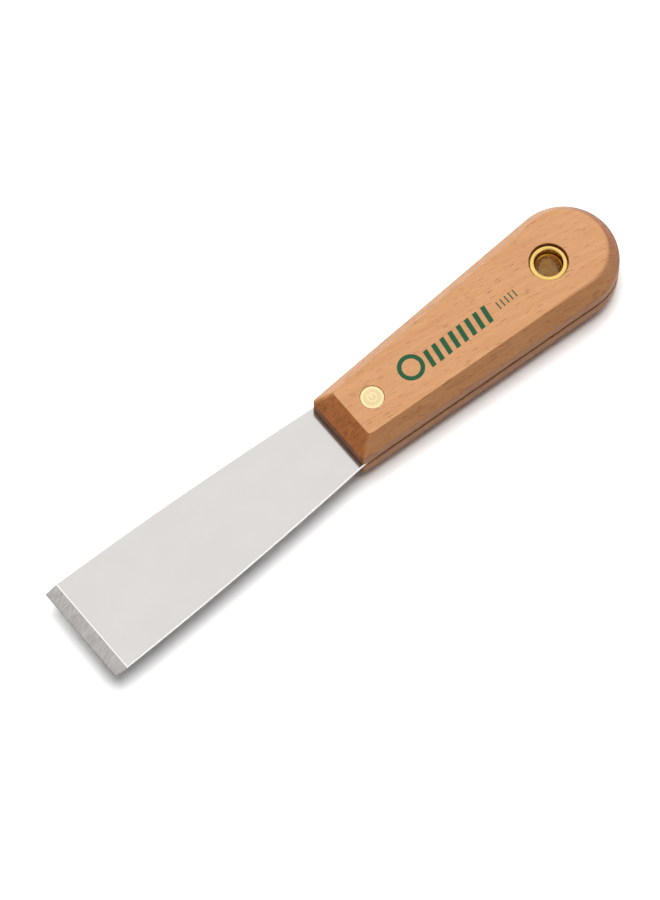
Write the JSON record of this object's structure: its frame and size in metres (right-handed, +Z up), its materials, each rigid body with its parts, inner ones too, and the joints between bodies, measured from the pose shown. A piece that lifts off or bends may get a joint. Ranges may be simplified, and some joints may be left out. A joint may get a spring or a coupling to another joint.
{
  "type": "putty knife",
  "caption": "Narrow putty knife with a steel blade ground to a chisel edge, wooden scales riveted over its tang and a brass-lined hang hole in the butt.",
  "frame": {"origin": "under the middle of the knife's overall length and width, on the flat face that it rests on", "axes": "+X along the knife from the cutting edge to the butt, +Y across it, +Z up through the blade"},
  "size_m": [0.1924, 0.0318, 0.022],
  "materials": {
    "beech": "sanded smooth and oiled, with fine dark flecks along the grain",
    "spring_steel": "fine satin polish, with coarser grinding lines on the bevel",
    "brass": "bright turned brass"
  },
  "bodies": {
    "root": {"blade": "spring_steel", "top_scale": "beech", "bottom_scale": "beech", "rivet_stud": "brass", "rivet_sleeve": "brass", "eyelet_sleeve": "brass", "eyelet_tube": "brass"}
  },
  "joints": []
}
